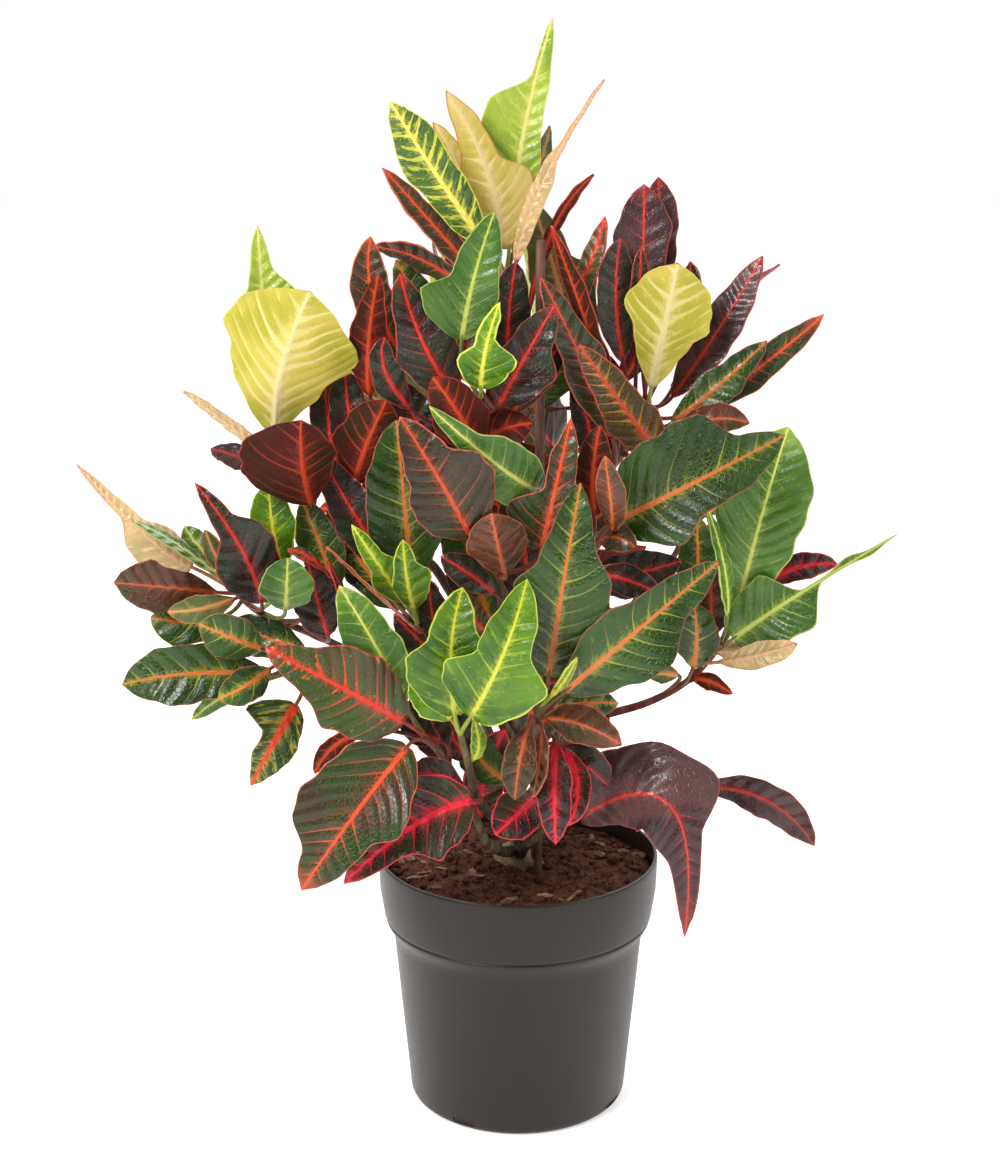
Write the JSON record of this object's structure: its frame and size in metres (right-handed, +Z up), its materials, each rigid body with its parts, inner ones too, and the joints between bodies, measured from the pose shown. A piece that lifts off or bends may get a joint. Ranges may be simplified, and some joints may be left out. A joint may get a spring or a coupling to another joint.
{
  "type": "potted croton",
  "caption": "Bushy potted croton with lobed, waved leaves in lime, green, red and dark purple, staked in a round tapered nursery pot.",
  "frame": {"origin": "centre of the pot's flat underside", "axes": "+Z up along the pot's axis; -Y towards the side seen first; +X to that viewer's right"},
  "size_m": [0.4675, 0.3342, 0.6468],
  "materials": {
    "pot": "satin",
    "soil": "matte",
    "stake": "matte",
    "bark": "matte",
    "leaf_lime": "satin",
    "leaf_green": "satin",
    "leaf_dark": "satin",
    "leaf_red": "satin"
  },
  "bodies": {
    "root": {"pot": "pot", "soil": "soil", "stake": "stake", "trunk": "bark", "leafy_stem_crown": "leaf_lime", "leafy_stem_lime_front": "leaf_lime", "leafy_stem_upper_left": "leaf_lime", "leafy_stem_upper_middle": "leaf_dark", "leafy_stem_lower_middle": "leaf_dark", "leafy_stem_upper_right": "leaf_dark", "leafy_stem_lower_right_foot": "leaf_dark", "leafy_stem_middle_left": "leaf_green", "leafy_stem_middle_right": "leaf_green", "leafy_stem_right": "leaf_green", "leafy_stem_left": "leaf_green", "leafy_stem_lower_right": "leaf_green", "leafy_stem_lower_far_left": "leaf_green", "leafy_stem_lower_left": "leaf_red", "leafy_stem_back_top": "leaf_dark", "leafy_stem_back_upper_right": "leaf_green", "leafy_stem_back_upper_left": "leaf_dark", "leafy_stem_back_middle": "leaf_dark", "leafy_stem_back_right": "leaf_green", "leafy_stem_back_left": "leaf_green", "leafy_stem_back_middle_left": "leaf_green", "leafy_stem_back_lower_right": "leaf_red", "leafy_stem_back_lower_left": "leaf_green"}
  },
  "joints": []
}
